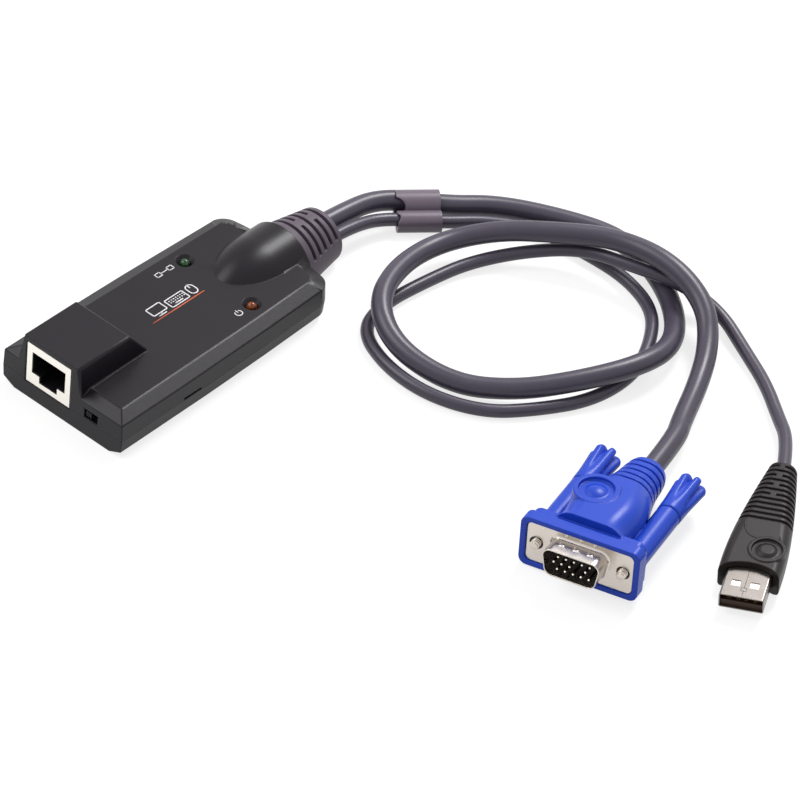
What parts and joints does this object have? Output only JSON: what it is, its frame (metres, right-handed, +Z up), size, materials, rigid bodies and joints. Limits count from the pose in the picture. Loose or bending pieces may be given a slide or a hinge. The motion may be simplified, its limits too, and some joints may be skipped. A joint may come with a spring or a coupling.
{
  "type": "kvm adapter dongle",
  "caption": "Small console adapter housing with a network jack in a raised hump, a ribbed cable exit, and looped cables to a video plug with thumbscrews and a USB plug.",
  "frame": {"origin": "bottom centre of the box of the housing with its strain relief, on the surface that it lies on", "axes": "+Y along the housing from the network jack to the cable exit, +Z up, +X across towards the side of the slide switch and the plugs"},
  "size_m": [0.2027, 0.1694, 0.0222],
  "materials": {
    "housing_plastic": "satin",
    "relief_plastic": "satin",
    "cable_jacket": "satin",
    "video_plug_plastic": "satin",
    "usb_plug_plastic": "satin",
    "plated_steel": "satin",
    "jack_steel": "satin",
    "contact_gold": "polished",
    "dark_insulator": "matte",
    "board_green": "satin",
    "chip_black": "matte",
    "header_white": "matte",
    "can_aluminium": "satin",
    "lamp_green": "gloss",
    "lamp_amber": "gloss",
    "knob_white": "satin"
  },
  "bodies": {
    "dongle": {"top_cover": "housing_plastic", "bottom_case": "housing_plastic", "circuit_board": "board_green", "jack_shield": "jack_steel", "jack_insert": "dark_insulator", "jack_contacts": "contact_gold", "lamp_left": "lamp_green", "lamp_right": "lamp_amber", "lamp_spacers": "header_white", "switch_frame": "plated_steel", "switch_base": "dark_insulator", "video_chip": "chip_black", "processor_chip": "chip_black", "memory_chip": "chip_black", "clock_crystal": "can_aluminium", "board_capacitors": "can_aluminium", "video_header": "header_white", "usb_header": "header_white", "video_lead": "cable_jacket", "usb_lead": "cable_jacket", "strain_relief": "relief_plastic", "video_cable": "cable_jacket", "usb_cable": "cable_jacket", "cable_clip": "relief_plastic", "vga_shell": "plated_steel", "vga_pins": "plated_steel", "vga_insulator": "dark_insulator", "vga_hood": "video_plug_plastic", "usb_shell": "plated_steel", "usb_tongue": "dark_insulator", "usb_contacts": "contact_gold", "usb_grip": "usb_plug_plastic"},
    "recovery_knob": {"switch_knob": "knob_white"},
    "thumbscrew_left": {"thumb_grip_left": "video_plug_plastic", "thumb_screw_left": "plated_steel"},
    "thumbscrew_right": {"thumb_grip_right": "video_plug_plastic", "thumb_screw_right": "plated_steel"}
  },
  "joints": [
    {"name": "recovery_switch", "type": "slide", "parent": "dongle", "child": "recovery_knob", "axis": [1, 0, 0], "range_m": [0, 0.002]},
    {"name": "thumbscrew_left_turn", "type": "hinge", "parent": "dongle", "child": "thumbscrew_left", "pos_m": [0.11816, 0.02577, 0.0064], "axis": [0.2347, -0.9701, 0.061], "continuous": true},
    {"name": "thumbscrew_right_turn", "type": "hinge", "parent": "dongle", "child": "thumbscrew_right", "pos_m": [0.14236, 0.03174, 0.00814], "axis": [0.2347, -0.9701, 0.061], "continuous": true}
  ]
}
